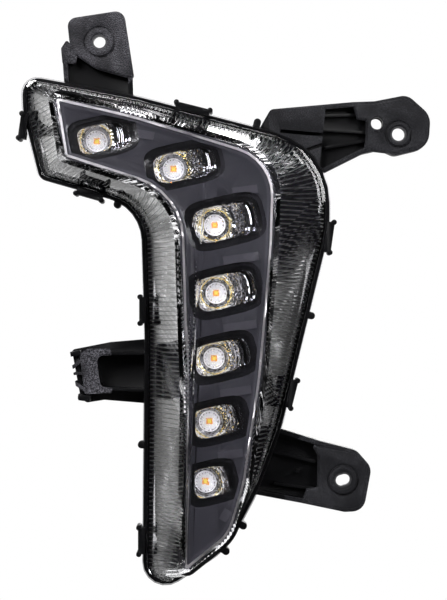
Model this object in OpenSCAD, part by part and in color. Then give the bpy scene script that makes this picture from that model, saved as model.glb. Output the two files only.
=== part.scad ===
// Front parking and daytime light for a car bumper: an elbow-shaped lamp with seven
// LED cells behind a clear lens, on a moulded housing with four fixing brackets.
// X is across the car, Y goes into the bumper and Z is up. The lamp looks along -Y.
// The origin is the centre of the top tab's hole, in the plane of the tab's back face.

/* [Overall] */
// Width of the lens at its flange
lamp_w = 152.4; // [146:0.1:160]
// Height of the lens at its flange
lamp_h = 261.7; // [252:0.1:274]

/* [Lens] */
// Wall of the clear lens
lens_wall = 2.2; // [1.8:0.1:2.8]
// Height of the lens from its flange to the crown of its face
lens_h = 34; // [31:0.5:38]
// Radius of the domed lens face
dome_r = 800; // [600:50:1600]
// Width of the flat flange round the lens
flange_w = 3; // [2.7:0.1:3.2]
// Thickness of the flange
flange_t = 2; // [1.6:0.1:3]
// Width of the lens face outside the bright trim
shoulder_w = 3.5; // [2.8:0.1:4]
// Depth of the tongue below the flange
tongue_h = 5.6; // [4:0.2:6]
// Thickness of the tongue
tongue_t = 2; // [1.4:0.1:2.2]
// Distance between the flutes inside the lens
flute_pitch = 2.2; // [2:0.1:5]
// Depth of a flute
flute_h = 0.45; // [0.2:0.05:0.6]
// Height of the flat foot of the lens wall
knee_h = 4; // [3:0.25:5]

/* [Housing] */
// Distance from the tab's back face forward to the housing's rim
rim_y = 12; // [11:0.5:15]
// Wall of the housing
shell_wall = 2.5; // [2:0.1:3]
// Thickness of the lip outside the tongue
lip_t = 1.8; // [1.4:0.1:2]
// Depth of the glue channel below the rim
channel_h = 7; // [6.8:0.1:8]
// How far the housing's back lies behind the tab's back face
back_y = 6.5; // [6:0.5:10]
// How far the housing's side leans in between its rim and its back
side_lean = 1.5; // [0.5:0.25:3]
// Height of the ribs on the back
rib_h = 2.5; // [1:0.5:4]
// Thickness of the ribs on the back
rib_t = 1.8; // [1.2:0.1:2.4]
// Thickness of the snap loops that hold the lens flange
loop_t = 1.7; // [1.4:0.1:2]
// Radius of the knobs at the ends of a snap loop
knob_r = 1.3; // [1:0.1:1.5]

/* [Bezel] */
// Gap between the lens face and the bezel face
face_gap = 3; // [2.5:0.1:4]
// Wall of the bezel's face
bezel_wall = 1.4; // [1:0.1:1.6]
// Wall of the bezel's skirt
skirt_wall = 0.9; // [0.7:0.05:1]
// Width of the bright trim strip
trim_w = 1.1; // [0.8:0.05:1.2]
// How far the trim stands in front of the bezel
trim_proud = 0.8; // [0.4:0.1:1.5]
// Width of the sloping band round the bezel's face
band_w = 4; // [3.4:0.1:4.4]
// How far the face lies below that band
band_h = 0.8; // [0.6:0.1:1]
// Depth of each step round a cell window
step_h = 1.3; // [0.9:0.1:1.4]
// Width of each step round a cell window
step_w = 1.8; // [1:0.1:2]

/* [Light cells] */
// Turn of every cell from level
cell_tilt = 13; // [8:1:16]
// Radius of the hole in a reflector's floor
led_hole_r = 5.2; // [5:0.1:5.6]
// Wall of a reflector
cup_wall = 0.9; // [0.8:0.05:1]
// Facets round a reflector
cup_facets = 28; // [20:2:36]
// Height of the teeth round an LED
tooth_h = 0.7; // [0.3:0.1:0.9]
// Depth of the ripples in a reflector's wing
ripple_h = 0.9; // [0.5:0.1:1.1]
// Side of the square LED package
led_side = 3.5; // [3:0.1:4]
// Height of the LED package
led_h = 1; // [0.7:0.1:1.2]
// Height of the dome lens over each LED
optic_h = 6.5; // [5.5:0.25:8]
// Radius of that dome lens
optic_r = 4.6; // [4.2:0.1:4.8]

/* [Boards] */
// Thickness of both circuit boards
board_t = 1.6; // [1:0.2:2]
// Distance from the tab's back face forward to the LED board
board_y = 22; // [21:0.5:24]
// Thickness of the heat spreader's plate
spreader_t = 3; // [2:0.5:3.5]
// Height of the heat spreader's fins
fin_h = 7.5; // [5:0.5:8]
// Thickness of a fin
fin_t = 1.6; // [1:0.2:2.2]
// Distance between fins
fin_pitch = 7; // [5:0.5:10]

/* [Fixings] */
// Hole radius of the top tab
tab_hole_r = 2.95; // [2.6:0.05:3.2]
// Hole radius of the arm
arm_hole_r = 3.2; // [2.8:0.05:3.4]
// Radius of the arm's locating hole
locating_r = 3; // [2:0.1:3.5]
// Half width of the foot's slot
foot_slot_r = 2.7; // [2.3:0.05:2.9]
// How much longer than wide the foot's slot is
foot_slot_more = 1.7; // [1:0.1:2.5]
// Wall of the steel sleeves
sleeve_t = 0.8; // [0.6:0.05:1]
// Thickness of the bracket pads
pad_t = 3; // [2.5:0.1:3.5]
// Height of the raised ring round a fixing hole
boss_h = 1; // [0.6:0.1:1.5]
// Outer radius of the raised ring
boss_r = 6.8; // [6.4:0.1:7.2]
// Width of the sloping edge round a bracket pad
pad_slope = 1.1; // [0.6:0.1:1.4]
// How far the webs' back faces lie behind those of the pads
web_drop = 6; // [4:0.5:6.5]
// Thickness of webs and bracket side walls
web_t = 2.4; // [2:0.1:3]

/* [Connector] */
// Length of the connector shroud
shroud_l = 22; // [20:0.5:26]
// Width of the connector shroud
shroud_w = 12; // [10:0.5:14]
// Height of the shroud behind the housing
shroud_h = 14; // [11:0.5:18]
// Wall of the shroud
shroud_wall = 1.8; // [1.4:0.1:2.2]
// Distance between terminal pins
pin_pitch = 4.2; // [3.5:0.1:4.6]
// Side of a terminal pin
pin_side = 1.2; // [0.8:0.1:1.5]

/* [Hidden] */
$fn = 48;

// Running gap between pieces that slip together, and between pieces that only pass
fit_gap = 0.05;
free_gap = 0.3;
// How far the end of one solid lies inside another
bury = 0.25;

// Depths along Y: the front is negative
flange_back = -rim_y;
flange_front = flange_back - flange_t;
crown_y = flange_front - lens_h;
knee_y = flange_front - knee_h;
knee_back = 1.4;
knee_share = 0.25;
dome_steps = [1, 0.8, 0.6, 0.4, 0.2];
channel_floor = -rim_y + channel_h;
rim_back = channel_floor + 2;
lip_top = -rim_y + 1.5;
brim_front = -rim_y + 0.2;
board_front = -board_y;
board_back = board_front + board_t;
spreader_back = board_back + spreader_t;
floor_in = back_y - shell_wall;
driver_back = 0;
driver_front = driver_back - board_t;

// Insets from the lens outline at the rim: lip, tongue, channel and inner lip
lip_out = 0.5;
lip_in = lip_out + lip_t;
tongue_out = lip_in + free_gap;
tongue_in = tongue_out + tongue_t;
channel_in = tongue_in + 0.6;
wall_in = channel_in + 1.8;

// Width of the slope inside the bezel's band
band_slope = 2.2;
// Depths below the lens face: bezel band, panel, the steps round a window, pan and mouth
band_d = lens_wall + face_gap;
panel_d = band_d + band_h;
step1_d = panel_d + step_h;
step2_d = step1_d + step_h;
pan_d = step2_d + bezel_wall;
mouth_d = pan_d + free_gap;

// Moves places across and up with the lamp's width and height
across = lamp_w / 152.4;
upward = lamp_h / 261.7;
function placed(list) = [
    for (p = list) [for (i = [0:len(p) - 1]) p[i] * (i == 0 ? across : i == 1 ? upward : 1)]
];

// Outline of the lens flange, clockwise from the head's top corner: x, z, corner radius
LENS_LINE = placed([
    [-38, -17.1, 8], [17.2, -27.3, 200], [114.4, -52.6, 36], [114.4, -94, 60],
    [90.1, -193.5, 150], [78.3, -224.1, 100], [64, -251.2, 40], [21.6, -278.8, 11.5],
    [22.6, -148.2, 300], [20.6, -83.2, 21.5], [-29.2, -68.9, 5.5], [-37.5, -35.9, 40]
]);
// Outline of the bright trim, with a corner for each corner of the lens flange
TRIM_LINE = placed([
    [-18.5, -31.8, 1.2], [18.7, -40.4, 200], [86.1, -60.9, 23.5], [84.8, -103.3, 200],
    [79.3, -166.1, 300], [71.5, -218, 60], [64.4, -241.8, 20], [42.9, -259, 1.2],
    [44.6, -176.1, 250], [41.2, -77.6, 30.5], [-13.7, -59.9, 1.2], [-16.3, -44.2, 30]
]);
// A point in the elbow that sees the whole of both outlines
ELBOW = placed([[54, -62]])[0];
// Centre of the dome, across and up
DOME = placed([[-10, -130]])[0];

// Light cells: LED x and z, mouth length and height, shift of the mouth, length of its wing
CELLS = placed([
    [-0.1, -51.2, 17, 13.5, 0, 9], [37.4, -64.7, 24.5, 14.5, 2.6, 6.5],
    [57.4, -92, 26, 17.5, 2.8, 5.5], [58.1, -125.1, 24, 17, 2.2, 5.5],
    [57.1, -156.8, 23, 16, 1.8, 4.5], [54.9, -187.5, 21, 15, 2.4, 3.5],
    [53, -216.9, 16.5, 14.8, 2, 2.5]
]);
// Raised panels of the bezel between the cells: centre, length and turn
PANELS = placed([
    [24, -49.5, 9, -10], [72, -76, 12, 8], [70, -108.6, 17, 8], [69.5, -141, 16, 8],
    [67.5, -172.3, 15, 8], [65, -202.5, 12, 8], [62.5, -232, 6, 60]
]);
panel_h = 4;

// Screws that hold the LED board and the spreader, and those of the driver board
BOARD_SCREWS = placed([[18.5, -56.5], [57.5, -108.5], [56.5, -172], [53.5, -236]]);
DRIVER = placed([[60, -76]])[0];
driver_l = 44;
driver_w = 26;
DRIVER_SCREWS = [DRIVER - [driver_l / 2 - 3.5, 0], DRIVER + [driver_l / 2 - 3.5, 0]];
LINK = DRIVER + [8, 5 - driver_w / 2];
link_l = 11;
link_w = 4;
PIN_ROW = DRIVER + [-4, driver_w / 2 - 9];
pin_count = 4;
screw_r = 1.4;
head_r = 2.7;
head_h = 2;
screw_l = 8;
screw_boss_r = 3.6;
VENT = placed([[52, -205]])[0];
vent_r = 4;
vent_h = 6;

// Snap loops of the housing over the lens flange: x, z, direction outwards and length
LOOPS = placed([
    [46.5, -34.8, 76, 17], [113.5, -97.5, -8, 15], [95, -174.6, -14, 14],
    [22.3, -133.5, 180, 13], [21.7, -247, 180, 13], [-36.6, -43, 172, 12], [-4.2, -76.2, 254, 13]
]);
// Small stops on the housing's rim: x, z and direction outwards
NUBS = placed([
    [9.6, -80.2, 254], [22.4, -200, 180], [62, -252, -36],
    [70.5, -239.5, -30], [78.2, -41.8, 76], [104, -136, -13.5]
]);

// Bracket outlines, clockwise: x, z, corner radius
TAB = placed([[-16.4, 11.8, 4.5], [12, 16.2, 5], [17.4, -18.6, 1.5], [-2, -13.2, 14], [-14.6, -4.6, 9]]);
TAB_WEB = placed([[-18.6, -8, 2], [-14, 0, 2], [16.4, -12, 2], [17, -36, 2], [-17, -30, 2]]);
TAB_GUSSET = placed([
    [-19.3, -3, 1.5], [-16.4, 1.4, 1], [-11, -6, 1], [-12, -10.6, 0.8], [-18.6, -10.6, 0.8]
]);
ARM = placed([
    [78, -46, 2], [85.2, -33.4, 3], [126, -29.8, 8], [137, -29.4, 8], [153.5, -26.2, 7], [165, -36.5, 9],
    [164, -52.5, 9], [147, -56.6, 5], [140, -53.5, 4], [131, -55.5, 10], [112, -65, 4], [96, -66, 4]
]);
ARM_PAD = placed([
    [126, -30.6, 1], [137, -30.2, 8], [153.2, -27, 6.5], [164.2, -37, 8.5], [163.2, -51.8, 8.5],
    [147, -55.8, 5], [131.6, -54, 1], [132.6, -49, 0.8], [132.8, -39, 1], [128.4, -38.4, 1]
]);
FOOT = placed([
    [82, -190, 4], [110, -198.8, 20], [128, -203.4, 8], [135.6, -212, 7], [131.6, -233.8, 7],
    [122, -234.2, 5], [100, -229.6, 10], [70, -224, 2]
]);
FOOT_PAD = placed([
    [105.6, -200.6, 1], [128, -204.4, 7], [134.6, -212.4, 6.4], [130.8, -233, 6.4],
    [122, -233.2, 5], [101, -228.6, 1], [103, -222.5, 1], [108.4, -222, 1], [108.6, -206, 1]
]);
CLIP = placed([
    [24, -148, 1], [5, -149.6, 8], [-14.4, -153.4, 1.5], [-9.9, -178, 1.5], [-6.8, -180, 2], [2, -178.6, 4],
    [24, -180.4, 1]
]);
CLIP_PLATE = placed([
    [5.4, -153.2, 0.6], [-5.4, -153.2, 1], [-9, -155.4, 1], [-6.6, -174.6, 1], [6, -174, 0.6], [6, -160, 0.6]
]);
CLIP_POCKET = placed([[-1.4, -156, 3.2], [24, -155.6, 0.5], [24, -172.6, 0.5], [0.8, -171.6, 3.2]]);
// Ribs and steps: x, z, length, height, turn, depth behind the front
CLIP_RIBS = [
    [-11.6, -155, 5, 2.4, 10, 0], [-11, -160.2, 6, 1.6, 38, 1], [-10.6, -165, 5, 1.2, 4, 0.6],
    [-9.4, -171.4, 7, 1.8, -35, 1], [-7.4, -177, 6, 3, -8, 0], [-9.6, -166, 1.4, 20, 8, 2.4]
];
// Slots between the arm's front panels: x, z, length, height, turn
ARM_SLOTS = [[103, -45.4, 26, 1.8, -5], [110, -51.4, 15, 1.8, 18], [97, -52, 12, 1.6, -32]];
// Low ribs in the recesses: x, z, length, turn, front
ARM_RIBS = [[121, -44, 26, -4, 0.4], [123, -50.5, 22, 10, 1], [121, -36, 22, 2, 1.2]];
FOOT_RIBS = [[96, -206.5, 24, -14, -0.4], [97, -221.5, 20, -8, 0.2], [99, -214, 2, 90, 0.2]];
ARM_HOLE = placed([[148.9, -46]])[0];
LOCATING = placed([[138.2, -40.5]])[0];
FOOT_HOLE = placed([[121.2, -218.1]])[0];
foot_turn = 15;
RINGS = [[0, 0, 4.5], [ARM_HOLE[0], ARM_HOLE[1], 4.6], [FOOT_HOLE[0], FOOT_HOLE[1], 4.9]];
// How far the left bracket stands in front of the other pads
clip_h = 6;

// Outline helpers. Outlines run clockwise, so the inside lies to the right of each edge.
function unit(v) = v / norm(v);
function right_of(v) = [v[1], -v[0]];
function cross2(a, b) = a[0] * b[1] - a[1] * b[0];
function xz(v) = [v[0], v[1]];
function at(list, i) = list[(i + len(list)) % len(list)];
function meet(p, u, q, v) = p + u * (cross2(q - p, v) / cross2(u, v));
function turned(p, a) = [p[0] * cos(a) - p[1] * sin(a), p[0] * sin(a) + p[1] * cos(a)];

// Moves every edge inwards by d and brings each corner's radius along
function inset(line, d) = [
    for (i = [0:len(line) - 1])
        let (
            a = xz(at(line, i - 1)), b = xz(line[i]), c = xz(at(line, i + 1)),
            u = unit(b - a), v = unit(c - b),
            corner = meet(b + right_of(u) * d, u, b + right_of(v) * d, v),
            r = line[i][2] - d * sign(-cross2(u, v))
        )
        [corner[0], corner[1], max(r, 0.4)]
];

// Points of an outline, with every corner turned into an arc of n steps
function rounded(line, n = 6) = [
    for (i = [0:len(line) - 1])
        let (
            a = xz(at(line, i - 1)), b = xz(line[i]), c = xz(at(line, i + 1)),
            u = unit(b - a), v = unit(c - b),
            turn = atan2(cross2(u, v), u * v),
            reach = line[i][2] * tan(abs(turn) / 2),
            hub = b - u * reach - right_of(u) * line[i][2] * sign(turn)
        )
        for (k = [0:n]) hub + turned(b - u * reach - hub, turn * k / n)
];

// Rounded cell outline about its LED, with a margin all round and a wing on its right
function mouth(c, margin = 0, wing = 0, scale = 1) = [
    for (k = [0:cup_facets - 1])
        let (
            a = 360 * k / cup_facets, n = 0.5,
            x = sign(cos(a)) * pow(abs(cos(a)), n) * (c[2] / 2 + margin + (cos(a) > 0.01 ? wing : 0)),
            z = sign(sin(a)) * pow(abs(sin(a)), n) * (c[3] / 2 + margin)
        )
        turned([x * scale + c[4] * scale, z * scale], cell_tilt)
];

// Depth of a dome that lies d behind the lens face, at a point
function dome_y(p, d = 0) = crown_y + dome_r
    - sqrt(pow(dome_r - d, 2) - pow(p[0] - DOME[0], 2) - pow(p[1] - DOME[1], 2));

// Extrudes a flat shape from depth y0 back to depth y1
module slab(y0, y1) {
    rotate([90, 0, 0]) translate([0, 0, -y1]) linear_extrude(y1 - y0) children();
}

// A round peg along Y
module peg(p, r, y0, y1, r1 = 0) {
    translate([p[0], y1, p[1]]) rotate([90, 0, 0])
        cylinder(r1 = r1 > 0 ? r1 : r, r2 = r, h = y1 - y0);
}

// A block by its centre across, its size across and its two depths
module block(p, size, y0, y1, turn = 0) {
    translate([p[0], 0, p[1]]) rotate([0, -turn, 0])
        translate([-size[0] / 2, y0, -size[1] / 2]) cube([size[0], y1 - y0, size[1]]);
}

module plate(line, d, y0, y1, n = 6) {
    slab(y0, y1) polygon(rounded(inset(line, d), n));
}

// Everything behind a dome that lies d behind the lens face
module under_dome(d) {
    translate([DOME[0], crown_y + dome_r, DOME[1]]) sphere(r = dome_r - d, $fn = 160);
}

// Solid between two outlines of as many points. Its ends fan from a point inside both.
module loft(front, back, y0, y1, eye) {
    n = len(front);
    points = concat(
        [for (p = front) [p[0], y0, p[1]]], [for (p = back) [p[0], y1, p[1]]],
        [[eye[0], y0, eye[1]], [eye[0], y1, eye[1]]]
    );
    faces = [
        for (i = [0:n - 1]) let (j = (i + 1) % n)
            each [[i, n + i, j], [j, n + i, n + j], [2 * n, i, j], [2 * n + 1, n + j, n + i]]
    ];
    polyhedron(points, faces);
}

// Body with walls that lean from a foot at depth y1 to the edge of a domed front. The front
// is made of rings that shrink towards the elbow.
module dome_body(d, edge_out, foot_in, y1, knee = 0) {
    foot = flat_ring(inset(LENS_LINE, foot_in), y1);
    edge_line = inset(TRIM_LINE, -edge_out);
    n = len(foot);
    rings = concat(
        [foot],
        knee > 0 ? [between(foot, dome_ring(edge_line, d), knee_share + 0.03, y1 - knee)] : [],
        [for (s = dome_steps) dome_ring(edge_line, d, s)]
    );
    m = len(rings);
    points = concat(
        [for (r = rings) each r], [[ELBOW[0], dome_y(ELBOW, d), ELBOW[1]], [ELBOW[0], y1, ELBOW[1]]]
    );
    faces = concat(
        [for (k = [0:m - 2]) each even_strip(k * n, (k + 1) * n, n)],
        [for (i = [0:n - 1]) let (j = (i + 1) % n, a = (m - 1) * n)
            each [[a + i, a + j, m * n], [j, i, m * n + 1]]]
    );
    polyhedron(points, faces);
}

// Rings of points: flat at a depth, and on a dome, shrunk towards the elbow
function flat_ring(line, y) = [for (p = rounded(line)) [p[0], y, p[1]]];
function dome_ring(line, d, s = 1) = [
    for (p = rounded(line)) let (q = ELBOW + (p - ELBOW) * s) [q[0], dome_y(q, d), q[1]]
];
function between(a, b, t, y) = [
    for (i = [0:len(a) - 1])
        let (p = a[i] + (b[i] - a[i]) * t)
        [p[0], y, p[2]]
];

// Two points for every flute, along each step of the lens outline
FOOT_RING = rounded(inset(LENS_LINE, flange_w));
FLUTES = [
    for (i = [0:len(FOOT_RING) - 1])
        2 * max(1, round(norm(at(FOOT_RING, i + 1) - FOOT_RING[i]) / flute_pitch))
];
FLUTE_START = [for (i = 0, a = 0; i < len(FLUTES); a = a + FLUTES[i], i = i + 1) a];
flute_points = FLUTE_START[len(FLUTES) - 1] + FLUTES[len(FLUTES) - 1];

// A ring with its flutes: every second point lies further out and back
function fluted(ring, back = 0) = [
    for (i = [0:len(ring) - 1])
        let (
            a = ring[i], b = at(ring, i + 1),
            w = right_of(unit([b[0] - a[0], b[2] - a[2]])) * -flute_h
        )
        for (k = [0:FLUTES[i] - 1]) a + (b - a) * k / FLUTES[i] + (k % 2) * [w[0], back, w[1]]
];

// Faces between rings that start at points a and b: both of n points, plain to fluted, and
// fluted to plain
function even_strip(a, b, n) = [
    for (i = [0:n - 1])
        let (j = (i + 1) % n)
        each [[a + i, a + j, b + j], [a + i, b + j, b + i]]
];
function into_flutes(a, b, n) = [
    for (i = [0:n - 1])
        let (j = (i + 1) % n, s = b + FLUTE_START[i], e = b + (i == n - 1 ? 0 : FLUTE_START[j]))
        each concat(
            [for (k = [0:FLUTES[i] - 1]) [a + i, k == FLUTES[i] - 1 ? e : s + k + 1, s + k]],
            [[a + i, a + j, e]]
        )
];
function out_of_flutes(a, b, n) = [
    for (i = [0:n - 1])
        let (j = (i + 1) % n, s = a + FLUTE_START[i], e = a + (i == n - 1 ? 0 : FLUTE_START[j]))
        each concat(
            [for (k = [0:FLUTES[i] - 1]) [s + k, k == FLUTES[i] - 1 ? e : s + k + 1, b + i]],
            [[e, b + j, b + i]]
        )
];

// The clear shell: a plain outside, and an inside with flutes from its foot to its shoulder
module lens_shell() {
    shoulder_in = shoulder_w - lens_wall;
    foot = flat_ring(inset(LENS_LINE, flange_w), flange_front + bury);
    edge = dome_ring(inset(TRIM_LINE, -shoulder_w), 0);
    foot_in = flat_ring(inset(LENS_LINE, flange_w + lens_wall), flange_back - bury);
    edge_in = dome_ring(inset(TRIM_LINE, -shoulder_in), lens_wall);
    n = len(foot);
    m = flute_points;
    outer = concat(
        [flat_ring(inset(LENS_LINE, flange_w), flange_back - bury), foot, between(foot, edge, knee_share, knee_y)],
        [for (s = dome_steps) dome_ring(inset(TRIM_LINE, -shoulder_w), 0, s)]
    );
    inner = concat(
        [fluted(between(foot_in, edge_in, knee_share, knee_y + knee_back)), fluted(edge_in, flute_h)],
        [for (s = dome_steps) dome_ring(inset(TRIM_LINE, 0.4), lens_wall, s)]
    );
    top = len(outer) * n;
    base = top + 1;
    dome = base + n + 2 * m;
    last = dome + len(dome_steps) * n;
    points = concat(
        [for (r = outer) each r], [[ELBOW[0], dome_y(ELBOW), ELBOW[1]]],
        foot_in, [for (r = inner) each r], [[ELBOW[0], dome_y(ELBOW, lens_wall), ELBOW[1]]]
    );
    inside = concat(
        into_flutes(base, base + n, n), even_strip(base + n, base + n + m, m),
        out_of_flutes(base + n + m, dome, n),
        [for (k = [0:len(dome_steps) - 2]) each even_strip(dome + k * n, dome + (k + 1) * n, n)],
        [for (i = [0:n - 1]) [last - n + i, last - n + (i + 1) % n, last]]
    );
    faces = concat(
        [for (k = [0:len(outer) - 2]) each even_strip(k * n, (k + 1) * n, n)],
        [for (i = [0:n - 1]) [top - n + i, top - n + (i + 1) % n, top]],
        [for (f = inside) [f[0], f[2], f[1]]],
        [for (i = [0:n - 1]) let (j = (i + 1) % n) each [[i, base + j, j], [i, base + i, base + j]]]
    );
    polyhedron(points, faces);
}

module lens() {
    color([0.85, 0.88, 0.92, 0.4])
    union() {
        lens_shell();
        difference() {
            union() {
                plate(LENS_LINE, 0, flange_front, flange_back);
                plate(LENS_LINE, tongue_out, flange_back - 1, flange_back + tongue_h);
            }
            slab(flange_front - 1, flange_back)
                polygon(rounded([for (p = inset(LENS_LINE, flange_w + 1)) [p[0], p[1], p[2] * 1.06]], 5));
            plate(LENS_LINE, tongue_in, flange_back - 0.5, flange_back + tongue_h + 1);
        }
    }
}

// Loop that grips over the lens flange, with a window and a round knob at both ends
module snap_loop(e) {
    half = e[3] / 2;
    outside = free_gap + loop_t;
    translate([e[0], 0, e[1]]) rotate([0, -e[2], 0])
        difference() {
            union() {
                translate([-1.5, flange_front - 1.4, -half]) cube([outside + 1.5, rim_y - 3, 2 * half]);
                for (s = [-1, 1])
                    peg([outside - 0.4, s * half], knob_r, flange_front - 2, channel_floor - 0.5, knob_r);
            }
            translate([-4, flange_front - fit_gap, -half - 4])
                cube([4 + free_gap, flange_t + 2 * fit_gap, 2 * half + 8]);
            translate([-4, flange_back, -half - 4]) cube([3.9 - lip_out, 3, 2 * half + 8]);
            translate([0.2, flange_front + 0.3, 2.2 - half]) cube([4, flange_t + 1.8, 2 * half - 4.4]);
        }
}

module nub(e) {
    translate([e[0], 0, e[1]]) rotate([0, -e[2], 0])
        union() {
            translate([-2, flange_back + 1, -1.8]) cube([3.2, rim_y - 5.5, 3.6]);
            peg([1.2, 0], 1.8, flange_back + 1, channel_floor - 0.5);
        }
}

module lens_seal() {
    color([0.12, 0.12, 0.13])
    difference() {
        plate(LENS_LINE, lip_in, channel_floor - 2.2, channel_floor);
        plate(LENS_LINE, channel_in, channel_floor - 3, channel_floor + 1);
        difference() {
            plate(LENS_LINE, tongue_out, flange_back, flange_back + tongue_h);
            plate(LENS_LINE, tongue_in, flange_back - 1, flange_back + tongue_h + 1);
        }
    }
}

// The bowl, without what stands on it or goes through it
module shell_outside() {
    plate(LENS_LINE, lip_out, flange_back, rim_back);
    loft(
        rounded(inset(LENS_LINE, wall_in - shell_wall)),
        rounded(inset(LENS_LINE, wall_in - shell_wall + side_lean)),
        rim_back - 0.5, back_y, ELBOW
    );
}

module shell_inside() {
    plate(LENS_LINE, wall_in, flange_back - 1, channel_floor);
    loft(
        rounded(inset(LENS_LINE, wall_in)), rounded(inset(LENS_LINE, wall_in + side_lean)),
        channel_floor - 0.1, floor_in, ELBOW
    );
    plate(LENS_LINE, channel_in, flange_back - 1, lip_top);
}

// Ribs across the back
module back_ribs() {
    difference() {
        intersection() {
            plate(LENS_LINE, wall_in + side_lean, back_y - 0.5, back_y + rib_h);
            rib_blocks();
        }
        peg(VENT, vent_r + 2, back_y + 1, back_y + rib_h + 1);
    }
}

module rib_blocks() {
    for (k = [0:7]) block([30, -48 - 28 * k], [160, rib_t], back_y - 1, back_y + rib_h + 1, 6);
    block([48, -150], [rib_t, 240], back_y - 1, back_y + rib_h + 1, 4);
    block([20, -52], [110, rib_t], back_y - 1, back_y + rib_h + 1, -14);
}

// A plate whose front edge slopes. The eye is a point that sees the whole outline.
module soft_plate(line, eye, y0, y1, slope = pad_slope) {
    plate(line, 0, y0 + slope - 0.01, y1);
    loft(rounded(inset(line, slope)), rounded(line), y0, y0 + slope, eye);
}

// Walls round a web that lies deeper than they do
module walled_web(line, wall, top) {
    plate(line, 0, web_drop - web_t, web_drop);
    difference() {
        plate(line, 0, top, web_drop);
        plate(line, wall, top - 1, web_drop + 1);
    }
}

// Raised ring round a fixing hole, with a step in it and a groove round it
module ring(p, r) {
    peg(p, r, -pad_t - boss_h, 0, r + 0.4);
}

module ring_step(p, r) {
    peg(p, r, -pad_t - boss_h - 1, -pad_t - boss_h + 0.5);
}

module ring_groove(p, r) {
    difference() {
        peg(p, r + 1.2, -pad_t - 2, 0.6 - pad_t);
        peg(p, r + 0.3, -pad_t - 3, 1 - pad_t);
    }
}

// Pads with a raised ring, webs that lie deeper, and walls between them
module bracket_tab() {
    difference() {
        soft_plate(TAB, [0, 0], -pad_t, 0);
        ring_groove([0, 0], boss_r);
    }
    walled_web(TAB_WEB, web_t, 0.8 - pad_t);
    plate(TAB_GUSSET, 0, 0.6 - pad_t, 1);
    ring([0, 0], boss_r);
}

module bracket_arm() {
    difference() {
        soft_plate(ARM_PAD, [146, -34], -pad_t, 0);
        ring_groove(ARM_HOLE, boss_r - 1);
    }
    walled_web(ARM, web_t, 0.6 - pad_t);
    difference() {
        soft_plate(ARM, [120, -50], -pad_t, web_drop - 0.5, 0.8);
        block([134, -40], [44, 60], -pad_t - 1, web_drop + 1, -6);
        for (s = ARM_SLOTS) block(xz(s), [s[2], s[3]], -pad_t - 1, web_drop - web_t, s[4]);
    }
    for (s = ARM_RIBS) block(xz(s), [s[2], web_t * 0.6], s[4], web_drop - bury, s[3]);
    ring(ARM_HOLE, boss_r - 1.2);
    peg(LOCATING, locating_r + 1.4, -pad_t - 0.4, 0);
}

module bracket_foot() {
    difference() {
        soft_plate(FOOT_PAD, [121.5, -224], -pad_t, 0);
        ring_groove(FOOT_HOLE, boss_r);
    }
    walled_web(FOOT, web_t, 0.6 - pad_t);
    for (s = FOOT_RIBS) block(xz(s), [s[2], web_t * 0.6], s[4], web_drop - bury, s[3]);
    ring(FOOT_HOLE, boss_r);
}

// Box open to the front, with a raised C-shaped plate before it and ribs at its left end
module bracket_clip() {
    front = -pad_t - clip_h;
    walled_web(CLIP, web_t, front + 2);
    intersection() {
        plate(CLIP, 0.3, front, web_drop - bury);
        for (s = CLIP_RIBS) block(xz(s), [s[2], s[3]], front + s[5], web_drop + 1, s[4]);
    }
    difference() {
        soft_plate(CLIP_PLATE, [-6.8, -164.5], front + 0.8, front + 4, 0.6);
        plate(CLIP_POCKET, 0, front, front + 5);
    }
    difference() {
        plate(CLIP_POCKET, -1.6, front + 3, web_drop - bury);
        plate(CLIP_POCKET, 0, front, web_drop - web_t);
    }
}

module slot_shape(r, more) {
    translate(FOOT_HOLE) rotate(foot_turn)
        union() {
            translate([-more / 2, 0]) circle(r);
            translate([more / 2, 0]) circle(r);
            square([more, 2 * r], center = true);
        }
}

module shroud_box(grow, y0, y1) {
    block(PIN_ROW, [shroud_l + grow, shroud_w + grow], y0, y1);
}

module housing() {
    color([0.1, 0.1, 0.11])
    difference() {
        union() {
            difference() {
                union() {
                    shell_outside();
                    bracket_tab();
                    bracket_arm();
                    bracket_foot();
                    bracket_clip();
                    back_ribs();
                    for (n = NUBS) nub(n);
                    for (e = LOOPS) snap_loop(e);
                    shroud_box(0, back_y - 0.5, back_y + shroud_h);
                    peg(VENT, vent_r, back_y - 0.5, back_y + vent_h);
                }
                shell_inside();
                difference() {
                    plate(LENS_LINE, lip_in, flange_back - 1, channel_floor);
                    plate(LENS_LINE, channel_in, flange_back - 2, channel_floor + 1);
                }
                shroud_box(-2 * shroud_wall, back_y, back_y + shroud_h + 1);
            }
            for (p = BOARD_SCREWS) peg(p, screw_boss_r, spreader_back, floor_in + 0.5, screw_boss_r + 0.8);
            for (p = DRIVER_SCREWS) peg(p, screw_boss_r, driver_back, floor_in + 0.5);
        }
        for (p = BOARD_SCREWS) peg(p, screw_r + fit_gap, spreader_back - 1, spreader_back + screw_l);
        for (p = DRIVER_SCREWS) peg(p, screw_r + fit_gap, driver_back - 1, floor_in);
        peg(VENT, vent_r - 1.5, floor_in - 1, back_y + vent_h + 1);
        for (p = pin_points()) block(p, [pin_side, pin_side], floor_in - 1, back_y + 1);
        for (h = RINGS) ring_step(xz(h), h[2]);
        peg([0, 0], tab_hole_r + sleeve_t, -pad_t - 9, web_drop + 1);
        peg(ARM_HOLE, arm_hole_r + sleeve_t, -pad_t - 9, web_drop + 1);
        peg(LOCATING, locating_r, -pad_t - 9, web_drop + 1);
        slab(-pad_t - 9, web_drop + 1) slot_shape(foot_slot_r + sleeve_t, foot_slot_more);
    }
}

function pin_points() = [
    for (k = [0:pin_count - 1]) PIN_ROW + [(k - (pin_count - 1) / 2) * pin_pitch, 0]
];

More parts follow.
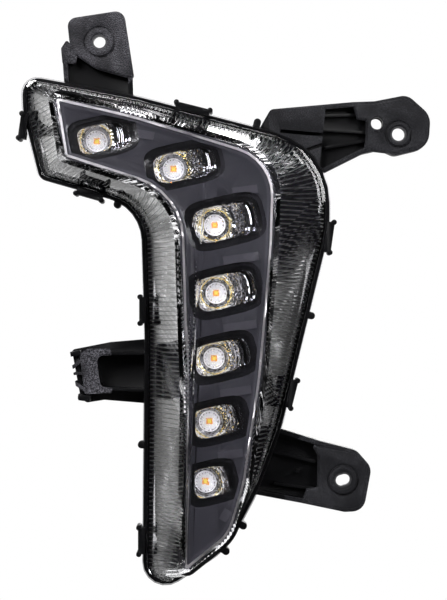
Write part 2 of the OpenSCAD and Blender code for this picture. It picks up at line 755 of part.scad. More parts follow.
// Puts a shape made at the origin on the bezel's face at a cell, square to the dome
module on_face(c) {
    reach = xz(c) - DOME;
    h = sqrt(pow(dome_r, 2) - reach * reach);
    translate([c[0], dome_y(xz(c), band_d), c[1]])
        rotate([-atan(reach[1] / h), 0, atan(reach[0] / h)]) children();
}

// Column of a cell's outline between two depths below the face, kept inside the band
module cell_column(c, margin, limit, y0, y1) {
    on_face(c) slab(y0, y1)
        intersection() {
            polygon(mouth(c, margin, c[5]));
            translate(-xz(c)) polygon(rounded(inset(TRIM_LINE, limit)));
        }
}

// Cutter before the face: its floor is a dome, and its walls open towards the front
module face_cut(limit, d) {
    wide = inset(TRIM_LINE, limit - band_slope);
    low = inset(TRIM_LINE, limit);
    n = len(rounded(low));
    rings = concat(
        [flat_ring(wide, crown_y), dome_ring(wide, band_d - 0.1)],
        [for (s = dome_steps) dome_ring(low, d, s)]
    );
    m = len(rings);
    points = concat(
        [for (r = rings) each r],
        [[ELBOW[0], dome_y(ELBOW, d), ELBOW[1]], [ELBOW[0], crown_y, ELBOW[1]]]
    );
    faces = concat(
        [for (k = [0:m - 2]) each even_strip(k * n, (k + 1) * n, n)],
        [for (i = [0:n - 1]) let (j = (i + 1) % n, a = (m - 1) * n)
            each [[a + i, a + j, m * n], [j, i, m * n + 1]]]
    );
    polyhedron(points, [for (f = faces) [f[0], f[2], f[1]]]);
}

module bezel() {
    pan_h = pan_d - band_d;
    color([0.2, 0.2, 0.22])
    difference() {
        union() {
            difference() {
                dome_body(band_d, skirt_wall, wall_in - 0.6, lip_top, knee_h);
                dome_body(panel_d + bezel_wall, 0, wall_in - 0.6 + skirt_wall, lip_top + 0.2, knee_h);
            }
            for (c = CELLS) cell_column(c, 2 * step_w + bezel_wall, 0.2, 0.4, pan_h);
            difference() {
                plate(LENS_LINE, channel_in + 0.2, brim_front, lip_top);
                plate(LENS_LINE, wall_in, brim_front - 1, lip_top + 1);
            }
        }
        difference() {
            plate(TRIM_LINE, 0, crown_y, board_front);
            plate(TRIM_LINE, trim_w, crown_y - 1, board_front + 1);
            dome_body(band_d + 0.8, 2, flange_w, flange_back);
        }
        difference() {
            face_cut(band_w, panel_d);
            for (p = PANELS) block(xz(p), [p[2], panel_h], crown_y - 1, board_front + 1, p[3]);
        }
        for (c = CELLS) {
            cell_column(c, 2 * step_w, band_w - 1.4, -1, step1_d - band_d);
            cell_column(c, step_w, band_w - 0.6, -2, step2_d - band_d);
            cell_column(c, 0, band_w + 0.2, -3, pan_h + 1);
        }
    }
}

module bezel_trim() {
    color([0.8, 0.8, 0.82])
    difference() {
        intersection() {
            plate(TRIM_LINE, 0, crown_y, board_front);
            under_dome(band_d - trim_proud);
        }
        plate(TRIM_LINE, trim_w, crown_y - 1, board_front + 1);
        under_dome(band_d + 0.6);
    }
}

// Ring of a reflector, blended from a circle to the cell's mouth. Every second point is
// pushed out, so that the facets between two rings look different ways.
function cup_ring(c, r, blend, y, push = 0, lift = 0) =
    let (m = mouth(c, -0.6))
    [for (k = [0:cup_facets - 1])
        let (
            q = turned([r, 0], 360 * k / cup_facets + cell_tilt) * (1 - blend) + m[k] * blend,
            p = xz(c) + q * (1 + push * (k % 2))
        )
        [p[0], y - lift * (k % 2), p[1]]];
function wing_ring(c, margin, wing, deep) = [
    for (p = mouth(c, margin, wing))
        let (q = xz(c) + p)
        [q[0], dome_y(q, mouth_d) + deep, q[1]]
];

// Bowl of flat facets round an LED: a ring of teeth, rows of facets, and a rippled wing
module reflector(c) {
    n = cup_facets;
    hub = xz(c);
    foot_y = board_front;
    depth = foot_y - dome_y(hub, mouth_d) - 1;
    eye_r = max(led_hole_r + 0.5, c[3] * 0.43);
    rings = [
        cup_ring(c, led_hole_r, 0, foot_y),
        cup_ring(c, eye_r, 0, foot_y - 0.12 * depth, 0, tooth_h),
        cup_ring(c, eye_r + 0.2, 0, foot_y - 0.24 * depth),
        cup_ring(c, eye_r + 0.3, 0.35, foot_y - 0.4 * depth, 0.05),
        cup_ring(c, eye_r + 0.4, 0.65, foot_y - 0.6 * depth, -0.04),
        cup_ring(c, eye_r + 0.4, 0.88, foot_y - 0.8 * depth, 0.03),
        wing_ring(c, -0.6, 0, 1.5),
        wing_ring(c, -0.4, c[5] * 0.33, 0.5),
        wing_ring(c, -0.2, c[5] * 0.62, 0.4 + ripple_h),
        wing_ring(c, 0, c[5], 0)
    ];
    outer = [
        for (s = [[0, 0], [2, 0], [4, 0], [5, 0], [8, cup_wall], [9, 0]])
            [for (p = rings[s[0]])
                let (q = [p[0], p[2]], w = unit(q - hub) * cup_wall)
                [q[0] + w[0], p[1] + s[1], q[1] + w[1]]]
    ];
    m = len(rings);
    u = m * n;
    v = len(outer);
    points = concat([for (r = rings) each r], [for (r = outer) each r]);
    faces = concat(
        [for (i = [0:m - 2], k = [0:n - 1]) let (a = i * n + k, b = i * n + (k + 1) % n)
            each (k + i) % 2 == 0
                ? [[a, a + n, b], [b, a + n, b + n]]
                : [[a, b + n, b], [a, a + n, b + n]]],
        [for (i = [0:v - 2], k = [0:n - 1]) let (a = u + i * n + k, b = u + i * n + (k + 1) % n)
            each [[a, b, a + n], [b, b + n, a + n]]],
        [for (k = [0:n - 1]) let (a = k, b = (k + 1) % n)
            each [[a, b, u + b], [a, u + b, u + a]]],
        [for (k = [0:n - 1]) let (a = u - n + k, b = u - n + (k + 1) % n, w = u + v * n - n)
            each [[a, w + k, b], [b, w + k, w + (k + 1) % n]]]
    );
    color([0.85, 0.85, 0.86]) polyhedron(points, faces);
}

// Clear dome over an LED, hollow below and standing on its rim
module optic(c) {
    color([0.9, 0.93, 0.96, 0.6])
    translate([c[0], board_front, c[1]]) rotate([90, 0, 0])
        rotate_extrude() polygon(concat(
            [[3, 0], [optic_r, 0], [optic_r, optic_h - 3.5]],
            [for (a = [20:14:90]) [optic_r * cos(a), optic_h - 4.4 + 4.4 * sin(a)]],
            [[0, 2.4], [1.6, 2.1], [3, 1.4]]
        ));
}

module led(c) {
    color([0.95, 0.75, 0.2])
    union() {
        block(c, [led_side, led_side], board_front - led_h * 0.6, board_front, cell_tilt);
        block(c, [led_side - 1, led_side - 1], board_front - led_h, board_front - 0.1, cell_tilt);
    }
}

module screw_holes(list, y0, y1) {
    for (p = list) peg(p, screw_r + 0.2, y0, y1);
}

module led_board() {
    color([0.15, 0.35, 0.2])
    difference() {
        plate(TRIM_LINE, 3, board_front, board_back);
        screw_holes(BOARD_SCREWS, board_front - 1, board_back + 1);
        block(LINK, [link_l + 0.4, link_w + 0.4], board_front - 1, board_back + 1);
    }
}

module heat_spreader() {
    color([0.7, 0.72, 0.74])
    difference() {
        union() {
            plate(TRIM_LINE, 4, board_back, spreader_back);
            intersection() {
                plate(TRIM_LINE, 6, spreader_back - 0.5, spreader_back + fin_h);
                for (z = [-52:-fin_pitch:-240])
                    block([30, z], [160, fin_t], spreader_back - 1, spreader_back + fin_h + 1);
            }
        }
        screw_holes(BOARD_SCREWS, board_back - 1, spreader_back + fin_h + 1);
        for (p = BOARD_SCREWS) peg(p, screw_boss_r + 1.6, spreader_back, spreader_back + fin_h + 1);
        block(LINK, [link_l + 3, link_w + 3], board_back - 1, spreader_back + fin_h + 1);
    }
}

module board_link() {
    color([0.15, 0.15, 0.16])
    union() {
        block(LINK, [link_l, link_w], board_front - 1.2, driver_front);
        block(LINK, [link_l + 1.6, link_w + 1.6], driver_front - 2.5, driver_front);
    }
}

module driver_board() {
    color([0.12, 0.3, 0.2])
    union() {
        difference() {
            block(DRIVER, [driver_l, driver_w], driver_front, driver_back);
            screw_holes(DRIVER_SCREWS, driver_front - 1, driver_back + 1);
            for (p = pin_points())
                block(p, [pin_side + 0.2, pin_side + 0.2], driver_front - 1, driver_back + 1);
        }
        block(DRIVER + [-10, 5 - driver_w / 2], [8, 6], driver_front - 2, driver_front + 0.1);
        block(DRIVER + [4, -1], [5, 4], driver_front - 1.4, driver_front + 0.1);
        block(DRIVER + [-3, 5 - driver_w / 2], [3, 2], driver_front - 1, driver_front + 0.1);
    }
}

module terminal_pins() {
    color([0.8, 0.65, 0.35])
    for (p = pin_points()) block(p, [pin_side, pin_side], driver_front - 1, back_y + shroud_h - 4);
}

module vent_cap() {
    color([0.15, 0.15, 0.16])
    difference() {
        peg(VENT, vent_r + 1.6, back_y + 1.5, back_y + vent_h + 2);
        peg(VENT, vent_r + fit_gap, back_y, back_y + vent_h + fit_gap);
    }
}

module screw(p, y) {
    difference() {
        union() {
            peg(p, head_r, y - head_h, y);
            peg(p, screw_r, y - 0.5, y + screw_l);
        }
        block(p, [3, 0.8], y - head_h - 1, y - head_h + 1);
        block(p, [0.8, 3], y - head_h - 1, y - head_h + 1);
    }
}

module board_screws() {
    color([0.75, 0.75, 0.78]) for (p = BOARD_SCREWS) screw(p, board_front);
}

module driver_screws() {
    color([0.75, 0.75, 0.78]) for (p = DRIVER_SCREWS)
        difference() {
            union() {
                peg(p, head_r, driver_front - head_h, driver_front);
                peg(p, screw_r, driver_front - 0.5, floor_in - 0.4);
            }
            block(p, [3, 0.8], driver_front - head_h - 1, driver_front - head_h + 1);
            block(p, [0.8, 3], driver_front - head_h - 1, driver_front - head_h + 1);
        }
}

module sleeve(p, r) {
    color([0.3, 0.3, 0.32])
    difference() {
        peg(p, r + sleeve_t, 0.5 - pad_t - boss_h, 0);
        peg(p, r, -pad_t - boss_h - 1, 1);
    }
}

module tab_sleeve() {
    sleeve([0, 0], tab_hole_r);
}

module arm_sleeve() {
    sleeve(ARM_HOLE, arm_hole_r);
}

module foot_sleeve() {
    color([0.3, 0.3, 0.32])
    difference() {
        slab(0.5 - pad_t - boss_h, 0) slot_shape(foot_slot_r + sleeve_t, foot_slot_more);
        slab(-pad_t - boss_h - 1, 1) slot_shape(foot_slot_r, foot_slot_more);
    }
}

module reflector_1() {
    reflector(CELLS[0]);
}

module reflector_2() {
    reflector(CELLS[1]);
}

module reflector_3() {
    reflector(CELLS[2]);
}

module reflector_4() {
    reflector(CELLS[3]);
}

module reflector_5() {
    reflector(CELLS[4]);
}

module reflector_6() {
    reflector(CELLS[5]);
}

module reflector_7() {
    reflector(CELLS[6]);
}

module optic_1() {
    optic(CELLS[0]);
}

module optic_2() {
    optic(CELLS[1]);
}

module optic_3() {
    optic(CELLS[2]);
}

module optic_4() {
    optic(CELLS[3]);
}

module optic_5() {
    optic(CELLS[4]);
}

module optic_6() {
    optic(CELLS[5]);
}

module optic_7() {
    optic(CELLS[6]);
}

module led_1() {
    led(CELLS[0]);
}

module led_2() {
    led(CELLS[1]);
}

module led_3() {
    led(CELLS[2]);
}

module led_4() {
    led(CELLS[3]);
}

module led_5() {
    led(CELLS[4]);
}

module led_6() {
    led(CELLS[5]);
}

module led_7() {
    led(CELLS[6]);
}

housing();
lens();
lens_seal();
bezel();
bezel_trim();
reflector_1();
reflector_2();
reflector_3();
reflector_4();
reflector_5();
reflector_6();
reflector_7();
optic_1();
optic_2();
optic_3();
optic_4();
optic_5();
optic_6();
optic_7();
led_1();
led_2();
led_3();
led_4();
led_5();
led_6();
led_7();
led_board();
heat_spreader();
board_link();
driver_board();
terminal_pins();
vent_cap();
board_screws();
driver_screws();
tab_sleeve();
arm_sleeve();
foot_sleeve();
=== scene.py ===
import math

import bpy
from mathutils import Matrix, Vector


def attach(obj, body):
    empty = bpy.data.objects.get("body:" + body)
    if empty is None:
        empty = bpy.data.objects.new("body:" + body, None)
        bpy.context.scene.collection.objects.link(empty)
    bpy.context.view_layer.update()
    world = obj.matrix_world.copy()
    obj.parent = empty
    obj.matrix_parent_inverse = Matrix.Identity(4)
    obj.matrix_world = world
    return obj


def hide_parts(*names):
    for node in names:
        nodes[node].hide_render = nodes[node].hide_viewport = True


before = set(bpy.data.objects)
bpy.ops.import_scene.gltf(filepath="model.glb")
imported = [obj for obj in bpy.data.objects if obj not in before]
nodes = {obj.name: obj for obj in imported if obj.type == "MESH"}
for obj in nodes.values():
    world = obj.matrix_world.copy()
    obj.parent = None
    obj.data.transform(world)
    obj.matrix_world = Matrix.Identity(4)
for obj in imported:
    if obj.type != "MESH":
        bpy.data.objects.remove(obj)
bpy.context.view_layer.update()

MM = 0.001

# Where the camera stands: over the middle of the lamp, square to the bracket pads
VIEW_CENTRE = Vector((61.75 * MM, 0, -128.5 * MM))
VIEW_HEIGHT = 300 * MM
CAMERA_DISTANCE = 900 * MM
SENSOR_HEIGHT = 36

# Bracket pads, each as a disc: across, up and reach in millimetres
TAB_PAD = (0, 0, 25)
CLIP_PAD = (2.5, -163.5, 19)
FOOT_PAD = (121, -218, 30)
ARM_PAD = (130, -35, 46)
PAD_DEPTH = -3 * MM

# The ball that the lens face is part of
LENS_BALL_CENTRE = (-10 * MM, 752 * MM, -130 * MM)
LENS_BALL_RADIUS = 800 * MM

# Spacing of the lines on the lens's wall, and the point that they are counted from
FLUTE_PITCH = 2.2 * MM
FLUTE_START = (61 * MM, 0, -128 * MM)

# Middles of the seven light cells, across and up in millimetres
CELL_EYES = [(-0.1, -51.2), (37.4, -64.7), (57.4, -92), (58.1, -125.1), (57.1, -156.8),
             (54.9, -187.5), (53, -216.9)]

# In front of this depth an LED shows its yellow top
LED_TOP = -22.65 * MM

# How the finished copies of the solids are cleaned and softened
WELD_REACH = 0.002 * MM
LEVEL_ANGLE = math.radians(0.6)
SOFT_EDGE_ANGLE = math.radians(40)

# Name, place, size and power in watts of each soft lamp
LAMPS = [
    ("key", (-0.5, -1.0, 0.6), (0.5, 0.5), 16),
    ("fill", (0.8, -0.9, 0.3), (0.4, 0.6), 7),
    ("top", (0.1, -0.1, 1.0), (0.8, 0.3), 5),
    ("right", (0.75, 0.05, 0.55), (0.25, 0.25), 1.6),
    ("back", (0.5, 1.1, 0.4), (0.7, 0.7), 12),
    ("side", (-0.9, 0.6, -0.35), (1.3, 1.4), 4.2),
]

# Strength of the world's light on dull surfaces
ROOM_LIGHT = 0.3
FLOOR_SIZE = 8
FLOOR_PLACE = (0, 3.7, -0.6)


class Signal:
    """A shader socket that can be used in sums."""

    def __init__(self, finish, socket):
        self.finish = finish
        self.socket = socket

    def math(self, operation, other=None, flip=False):
        values = [other, self] if flip else [self, other]
        sockets = {i: v for i, v in enumerate(values) if v is not None}
        return self.finish.node("ShaderNodeMath", {"operation": operation}, sockets)

    def __add__(self, other):
        return self.math("ADD", other)

    def __radd__(self, other):
        return self.math("ADD", other, flip=True)

    def __sub__(self, other):
        return self.math("SUBTRACT", other)

    def __rsub__(self, other):
        return self.math("SUBTRACT", other, flip=True)

    def __mul__(self, other):
        return self.math("MULTIPLY", other)

    def __rmul__(self, other):
        return self.math("MULTIPLY", other, flip=True)

    def __truediv__(self, other):
        return self.math("DIVIDE", other)

    def above(self, other):
        return self.math("GREATER_THAN", other)

    def below(self, other):
        return self.math("LESS_THAN", other)

    def between(self, low, high):
        return self.above(low) * self.below(high)

    def ramp(self, low, high, start=0.0, end=1.0):
        """Runs smoothly from start to end while this runs from low to high."""
        return self.finish.node("ShaderNodeMapRange", {"interpolation_type": "SMOOTHSTEP"}, {
            "Value": self, "From Min": low, "From Max": high, "To Min": start, "To Max": end})

    def sine(self):
        return self.math("SINE")

    def size(self):
        return self.math("ABSOLUTE")

    def part(self, name):
        """Another output of the same node."""
        return Signal(self.finish, self.socket.node.outputs[name])


class Finish:
    """A material, or the world's shader, that is built node by node."""

    def __init__(self, name, owner=None):
        self.owner = owner or bpy.data.materials.new(name)
        self.owner.use_nodes = True
        self.tree = self.owner.node_tree
        self.tree.nodes.clear()

    def node(self, kind, settings=None, sockets=None, output=0):
        made = self.tree.nodes.new(kind)
        for name, value in (settings or {}).items():
            setattr(made, name, value)
        for name, value in (sockets or {}).items():
            self.fill(made.inputs[name], value)
        return Signal(self, made.outputs[output])

    def fill(self, socket, value):
        if isinstance(value, Signal):
            self.tree.links.new(value.socket, socket)
        elif isinstance(value, tuple) and len(value) == 3 and socket.type == "RGBA":
            socket.default_value = (*value, 1)
        else:
            socket.default_value = value

    def place(self):
        """Object coordinates, in metres."""
        return self.node("ShaderNodeTexCoord", output="Object")

    def axes(self):
        """The three object coordinates as numbers."""
        split = self.node("ShaderNodeSeparateXYZ", sockets={0: self.place()})
        return split, split.part("Y"), split.part("Z")

    def vector(self, operation, first, second=None, output="Vector"):
        """Maths on one vector or two."""
        sockets = {0: first} if second is None else {0: first, 1: second}
        return self.node("ShaderNodeVectorMath", {"operation": operation}, sockets, output)

    def noise(self, size, detail=2, roughness=0.5):
        return self.node("ShaderNodeTexNoise", sockets={
            "Vector": self.place(), "Scale": 1 / size, "Detail": detail, "Roughness": roughness})

    def bump(self, height, distance, strength=1):
        return self.node("ShaderNodeBump", sockets={
            "Height": height, "Distance": distance, "Strength": strength})

    def mix(self, factor, low, high):
        """Blends two colours."""
        blend = self.node("ShaderNodeMix", {"data_type": "RGBA"}, {0: factor, 6: low, 7: high})
        return Signal(self, blend.socket.node.outputs[2])

    def surface(self, **sockets):
        names = {key.replace("_", " "): value for key, value in sockets.items()}
        return self.node("ShaderNodeBsdfPrincipled", sockets=names)

    def done(self, shader):
        out = self.tree.nodes.new("ShaderNodeOutputMaterial")
        self.tree.links.new(shader.socket, out.inputs["Surface"])
        return self.owner

    def clear_to_light(self, shader):
        """Lets lamp light through to what is behind the glass."""
        shadow = self.node("ShaderNodeLightPath", output="Is Shadow Ray")
        gap = self.node("ShaderNodeBsdfTransparent", sockets={"Color": (0.95, 0.95, 0.96)})
        return self.node("ShaderNodeMixShader", sockets={0: shadow, 1: shader, 2: gap})


def grained_plastic(name, colour):
    """Dull plastic or rubber with a fine grain."""
    f = Finish(name)
    cloud = f.noise(30 * MM, 3)
    base = f.mix(cloud, tuple(0.8 * c for c in colour), tuple(1.25 * c for c in colour))
    rough = 0.37 + 0.16 * f.noise(12 * MM, 4)
    return f.done(f.surface(Base_Color=base, Roughness=rough,
                            Normal=f.bump(f.noise(0.35 * MM, 2), 0.04 * MM)))


def facing(f):
    """1 on faces that look forward, and 1 on faces that look back."""
    normal = f.node("ShaderNodeNewGeometry", output="Normal")
    split = f.node("ShaderNodeSeparateXYZ", sockets={0: normal})
    return split.part("Y").below(-0.55), split.part("Y").above(0.3)


def near(f, across, up, reach):
    """1 within reach of a place on the bracket pads, in millimetres."""
    centre = (across * MM, PAD_DEPTH, up * MM)
    away = f.vector("DISTANCE", f.place(), centre, "Value")
    return away.below(reach * MM)


def housing_plastic():
    """Polished black in front, with grained pads on the brackets and a grained back. The grain on the tab
    and clip pads is painted lighter, a painted sheen.
    """
    f = Finish("housing_plastic")
    across, depth, up = f.axes()
    clear_of_lens = (up + 0.4 * across).above(-14 * MM).math("MAXIMUM", across.above(107 * MM))
    arm = near(f, *ARM_PAD) * clear_of_lens
    bright = near(f, *TAB_PAD) + near(f, *CLIP_PAD)
    brackets = bright + near(f, *FOOT_PAD) + arm
    levels = depth.between(-4.6 * MM, -1.75 * MM) + depth.between(-8.7 * MM, -7.6 * MM)
    front, back = facing(f)
    pads = brackets * levels * front
    grain = f.noise(0.5 * MM, 3, 0.6)
    worn = f.noise(12 * MM, 3)
    cloud = f.noise(9 * MM, 3)
    light = grain.ramp(0.4, 0.72) * worn.ramp(0.35, 0.65, 0.25, 1.0)
    # Painted sheen: the grain on the tab and clip pads is painted much lighter than on the foot and arm
    # pads.
    grain_and_painted_sheen = f.mix(bright, (0.055, 0.055, 0.063), (0.17, 0.165, 0.19))
    pad = f.mix(light, (0.006, 0.006, 0.0075), grain_and_painted_sheen)
    black = f.mix(cloud, (0.0018, 0.0018, 0.0022), (0.006, 0.006, 0.007))
    flecks = grain.ramp(0.3, 0.75) * worn.ramp(0.3, 0.7, 0.5, 1.0)
    spark = f.mix(flecks, (0.007, 0.007, 0.008), (0.032, 0.032, 0.035))
    base = f.mix(pads, f.mix(back, black, spark), pad)
    rough = 0.32 + 0.12 * cloud + 0.16 * pads
    height = grain * (pads + 0.5 * back)
    return f.done(f.surface(Base_Color=base, Roughness=rough, Specular_IOR_Level=0.13,
                            Normal=f.bump(height, 0.14 * MM)))


def below_lens_face(f):
    """Depth under the domed lens face, in metres."""
    return LENS_BALL_RADIUS - f.vector("DISTANCE", f.place(), LENS_BALL_CENTRE, "Value")


def bezel_plastic():
    """Dark satin, painted lighter on what stands nearest to the lens and painted black in the steps:
    painted light and painted shade.
    """
    f = Finish("bezel_plastic")
    depth = below_lens_face(f)
    cloud = f.noise(14 * MM, 3)
    # Painted light and shade by depth: lighter on what stands nearest to the lens, near black deep in the
    # steps.
    face = f.mix(depth.ramp(5.35 * MM, 5.75 * MM), (0.04, 0.039, 0.047), (0.024, 0.0235, 0.029))
    base = f.mix(depth.ramp(6.3 * MM, 7.4 * MM), face, (0.003, 0.003, 0.004))
    rough = 0.18 + 0.1 * cloud
    return f.done(f.surface(Base_Color=base, Roughness=rough, Specular_IOR_Level=0.4,
                            Normal=f.bump(f.noise(0.6 * MM), 0.003 * MM)))


def satin_metal(name, colour, rough):
    f = Finish(name)
    wear = f.noise(4 * MM, 4)
    base = f.mix(wear, tuple(0.85 * c for c in colour), colour)
    return f.done(f.surface(Base_Color=base, Metallic=1.0, Roughness=rough - 0.05 + 0.1 * wear,
                            Normal=f.bump(f.noise(0.2 * MM, 2), 0.01 * MM)))


def from_nearest_eye(f):
    """Distance to the middle of the nearest light cell, seen from the front."""
    flat = f.vector("MULTIPLY", f.place(), (1, 0, 1))
    least = 1.0
    for across, up in CELL_EYES:
        eye = (across * MM, 0, up * MM)
        least = f.vector("DISTANCE", flat, eye, "Value").math("MINIMUM", least)
    return least


def bright_facets():
    """Mirror facets with painted reflections: a painted dark ring round each LED, a thin yellow ring
    painted for the LEDs' yellow seen in the facets, a wing painted dimmer, and ripples on the wing.
    """
    f = Finish("reflector_chrome")
    eye = from_nearest_eye(f)
    tint = f.noise(3 * MM, 3)
    mirror = f.mix(tint.ramp(0.4, 0.6), (0.9, 0.85, 0.66), (0.95, 0.96, 0.98))
    # Painted reflection: the mirror is painted dark in a ring round each LED.
    base = f.mix(eye.ramp(6.6 * MM, 7.1 * MM), (0.32, 0.32, 0.33), mirror)
    # Painted reflection: a thin yellow ring, for the LEDs' yellow seen in the facets.
    base = f.mix(eye.between(7.15 * MM, 7.6 * MM), base, (1.0, 0.8, 0.25))
    wing = eye.ramp(8.6 * MM, 9.4 * MM)
    # Painted reflection: the wing's mirror is painted a dimmer grey.
    base = f.mix(wing, base, (0.5, 0.5, 0.53))
    cells = f.node("ShaderNodeTexVoronoi", output="Distance",
                   sockets={"Vector": f.place(), "Scale": 1 / (1.5 * MM)})
    ripple = 0.25 * (eye / (0.28 * MM)).sine()
    height = cells + wing * (ripple - cells)
    return f.done(f.surface(Base_Color=base, Metallic=1.0, Roughness=0.02 + 0.02 * tint,
                            Normal=f.bump(height, 0.3 * MM)))


def wall_lines(f, pitch):
    """Fine lines across the leaning outer wall of the lens, at right angles to its edge."""
    normal = f.node("ShaderNodeNewGeometry", output="True Normal")
    split = f.node("ShaderNodeSeparateXYZ", sockets={0: normal})
    outside = 1.0 - normal.part("Backfacing")
    leaning = split.part("Y").between(-0.86, -0.2) * outside
    along = f.vector("NORMALIZE", f.vector("CROSS_PRODUCT", normal, (0, 1, 0)))
    middle = f.vector("SUBTRACT", f.place(), FLUTE_START)
    run = f.vector("DOT_PRODUCT", middle, along, "Value")
    wave = (run * (2 * math.pi / pitch)).sine()
    return leaning * wave.ramp(0.2, 0.8)


def clear_glass(name, index, tint, lines=0.0):
    """Clear plastic, with fine lines on its outer wall where lines gives their spacing."""
    f = Finish(name)
    haze = f.noise(6 * MM, 3)
    colour = f.mix(haze, tint, tuple(0.985 * c for c in tint))
    rough = 0.34 * wall_lines(f, lines) if lines else 0.0
    shader = f.surface(Base_Color=colour, Roughness=rough, IOR=index, Transmission_Weight=1.0)
    return f.done(f.clear_to_light(shader))


def board_resist(name, colour, track, painted_glow=0.0):
    """Lacquered board with short tracks, and a painted glow in its own colour of the given strength."""
    f = Finish(name)
    across, _, up = f.axes()
    lines = ((across / (2.4 * MM)).sine() * (up / (3.1 * MM)).sine()).above(0.72)
    base = f.mix(lines, colour, track)
    # Painted light: the board glows in its own colour, at the strength given for its glow.
    return f.done(f.surface(Base_Color=base, Roughness=0.3 + 0.1 * f.noise(2 * MM),
                            Emission_Color=base, Emission_Strength=painted_glow))


def led_phosphor():
    """White package with an orange rim round its yellow top, all of it with a painted glow."""
    f = Finish("led_phosphor")
    _, depth, _ = f.axes()
    top = depth.below(LED_TOP)
    box = f.node("ShaderNodeTexCoord", output="Generated")
    split = f.node("ShaderNodeSeparateXYZ", sockets={0: box})
    rim = (split - 0.5).size().math("MAXIMUM", (split.part("Z") - 0.5).size())
    yellow = f.mix(rim.ramp(0.12, 0.2), (1.0, 0.78, 0.14), (0.9, 0.3, 0.04))
    yellow = f.mix(rim.ramp(0.22, 0.25), yellow, (0.92, 0.86, 0.84))
    base = f.mix(top, (0.9, 0.89, 0.88), yellow)
    # Painted glow: the white package and its yellow top glow in their own colours.
    painted_glow = f.mix(top, (0.8, 0.78, 0.8), yellow)
    return f.done(f.surface(Base_Color=base, Roughness=0.35, Emission_Color=painted_glow, Emission_Strength=0.35))


FINISHES = {
    "housing": housing_plastic(),
    "bezel": bezel_plastic(),
    "bezel_trim": satin_metal("bright_trim", (0.78, 0.75, 0.76), 0.3),
    "lens_seal": grained_plastic("sealant", (0.02, 0.02, 0.022)),
    "lens": clear_glass("clear_lens", 1.585, (0.965, 0.965, 0.985), FLUTE_PITCH),
    "reflector": bright_facets(),
    "optic": clear_glass("optic_clear", 1.49, (0.97, 0.975, 0.985)),
    "led": led_phosphor(),
    # The LED board gets a painted glow of 0.3.
    "led_board": board_resist("board_resist", (0.9, 0.88, 0.91), (0.84, 0.83, 0.86), 0.3),
    "heat_spreader": satin_metal("spreader_metal", (0.6, 0.61, 0.63), 0.4),
    "board_link": grained_plastic("link_plastic", (0.02, 0.02, 0.022)),
    "driver_board": board_resist("driver_resist", (0.01, 0.09, 0.04), (0.02, 0.14, 0.07)),
    "terminal_pins": satin_metal("pin_plating", (0.75, 0.62, 0.38), 0.25),
    "vent_cap": grained_plastic("cap_rubber", (0.018, 0.018, 0.02)),
    "board_screws": satin_metal("screw_zinc", (0.6, 0.6, 0.62), 0.3),
    "driver_screws": satin_metal("screw_zinc_small", (0.6, 0.6, 0.62), 0.3),
    "tab_sleeve": grained_plastic("sleeve_black", (0.03, 0.03, 0.033)),
    "arm_sleeve": grained_plastic("sleeve_black_arm", (0.03, 0.03, 0.033)),
    "foot_sleeve": grained_plastic("sleeve_black_foot", (0.03, 0.03, 0.033)),
}


for name, piece in nodes.items():
    piece.data.materials.clear()
    piece.data.materials.append(FINISHES[name.rstrip("_0123456789")])


def edit(step):
    """Does one step of mesh editing on all of the active piece."""
    bpy.ops.object.mode_set(mode="EDIT")
    bpy.ops.mesh.select_all(action="SELECT")
    step()
    bpy.ops.object.mode_set(mode="OBJECT")


def dressed(name, smooth, edge=0.0, flat=False):
    """A merged copy of a solid with soft edges, which stands for it."""
    bpy.ops.object.select_all(action="DESELECT")
    nodes[name].select_set(True)
    bpy.context.view_layer.objects.active = nodes[name]
    bpy.ops.object.duplicate()
    piece = bpy.context.object
    piece.name = name + "_finished"
    edit(lambda: bpy.ops.mesh.remove_doubles(threshold=WELD_REACH))
    if flat:
        edit(lambda: bpy.ops.mesh.dissolve_limited(angle_limit=LEVEL_ANGLE))
    if edge:
        soft = piece.modifiers.new("soft_edges", "BEVEL")
        soft.width = edge
        soft.segments = 2
        soft.limit_method = "ANGLE"
        soft.angle_limit = SOFT_EDGE_ANGLE
        bpy.ops.object.modifier_apply(modifier=soft.name)
    bpy.ops.object.shade_smooth_by_angle(angle=math.radians(smooth))
    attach(piece, "root")
    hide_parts(name)
    return piece


def round_the_flutes(piece):
    """Softens the edges that run into the depth of the lens, and leaves its knees and rims crisp."""
    corners = piece.data.vertices
    bpy.ops.object.mode_set(mode="EDIT")
    bpy.ops.mesh.select_mode(type="EDGE")
    bpy.ops.mesh.select_all(action="DESELECT")
    bpy.ops.object.mode_set(mode="OBJECT")
    for edge in piece.data.edges:
        start, end = [corners[i].co for i in edge.vertices]
        edge.select = abs(end.y - start.y) > 0.3 * (end - start).length
    bpy.ops.object.mode_set(mode="EDIT")
    bpy.ops.mesh.mark_sharp(clear=True)
    bpy.ops.object.mode_set(mode="OBJECT")


dressed("housing", 35, 0.15 * MM, True)
round_the_flutes(dressed("lens", 12))
dressed("bezel", 22, 0.18 * MM, True)
dressed("bezel_trim", 35)
for number in range(1, len(CELL_EYES) + 1):
    dressed("optic_%d" % number, 30)


def camera():
    data = bpy.data.cameras.new("camera")
    data.sensor_fit = "VERTICAL"
    data.sensor_height = SENSOR_HEIGHT
    data.lens = SENSOR_HEIGHT * CAMERA_DISTANCE / VIEW_HEIGHT
    data.clip_start = 0.01
    data.clip_end = 50
    made = bpy.data.objects.new("camera", data)
    bpy.context.collection.objects.link(made)
    made.location = VIEW_CENTRE - Vector((0, CAMERA_DISTANCE, 0))
    made.rotation_euler = (math.pi / 2, 0, 0)
    bpy.context.scene.camera = made


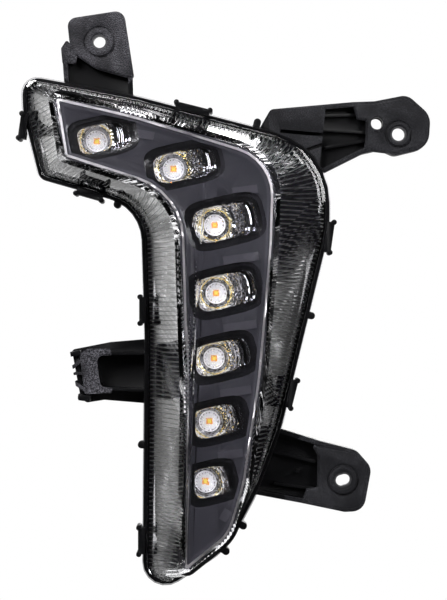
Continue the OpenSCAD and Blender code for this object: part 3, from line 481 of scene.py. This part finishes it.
def soft_lamp(name, place, size, power):
    """A rectangular lamp that shines on the middle of the lamp body."""
    data = bpy.data.lights.new(name, "AREA")
    data.shape = "RECTANGLE"
    data.size, data.size_y = size
    data.energy = power
    made = bpy.data.objects.new(name, data)
    bpy.context.collection.objects.link(made)
    made.location = place
    made.rotation_euler = (VIEW_CENTRE - Vector(place)).to_track_quat("-Z", "Y").to_euler()


def surroundings():
    """White to the camera. Mirrors and glass see white behind the lamp and a dim room before it."""
    world = bpy.data.worlds.new("studio")
    bpy.context.scene.world = world
    f = Finish("studio", world)
    way = f.node("ShaderNodeSeparateXYZ", sockets={0: f.node("ShaderNodeTexCoord", output="Generated")})
    room = way.part("Y").ramp(0.4, 0.58, 0.02, 1.0) * way.part("Z").ramp(0.25, 0.6, 1.0, 0.12)
    path = f.node("ShaderNodeLightPath", output="Is Camera Ray")
    mirrored = path.part("Is Glossy Ray").math("MAXIMUM", path.part("Is Transmission Ray"))
    strength = ROOM_LIGHT + mirrored * (room - ROOM_LIGHT)
    strength = strength + path * (1.0 - strength)
    back = f.node("ShaderNodeBackground", sockets={"Color": (1, 1, 1), "Strength": strength})
    out = f.tree.nodes.new("ShaderNodeOutputWorld")
    f.tree.links.new(back.socket, out.inputs["Surface"])


def floor():
    """Pale paper that looks pure white to the camera, so it shows no shadow."""
    bpy.ops.object.select_all(action="DESELECT")
    bpy.ops.mesh.primitive_plane_add(size=FLOOR_SIZE, location=FLOOR_PLACE)
    made = bpy.context.object
    made.name = "floor"
    f = Finish("floor_paper")
    seen = f.node("ShaderNodeLightPath", output="Is Camera Ray")
    tone = f.mix(f.noise(0.4), (0.86, 0.86, 0.86), (0.9, 0.9, 0.9))
    paper = f.surface(Base_Color=tone, Roughness=0.9)
    white = f.node("ShaderNodeEmission", sockets={"Color": (1, 1, 1), "Strength": 1.0})
    shown = f.node("ShaderNodeMixShader", sockets={0: seen, 1: paper, 2: white})
    made.data.materials.append(f.done(shown))


camera()
surroundings()
floor()
for name, place, size, power in LAMPS:
    soft_lamp(name, place, size, power)

bpy.context.scene.view_settings.view_transform = "Standard"
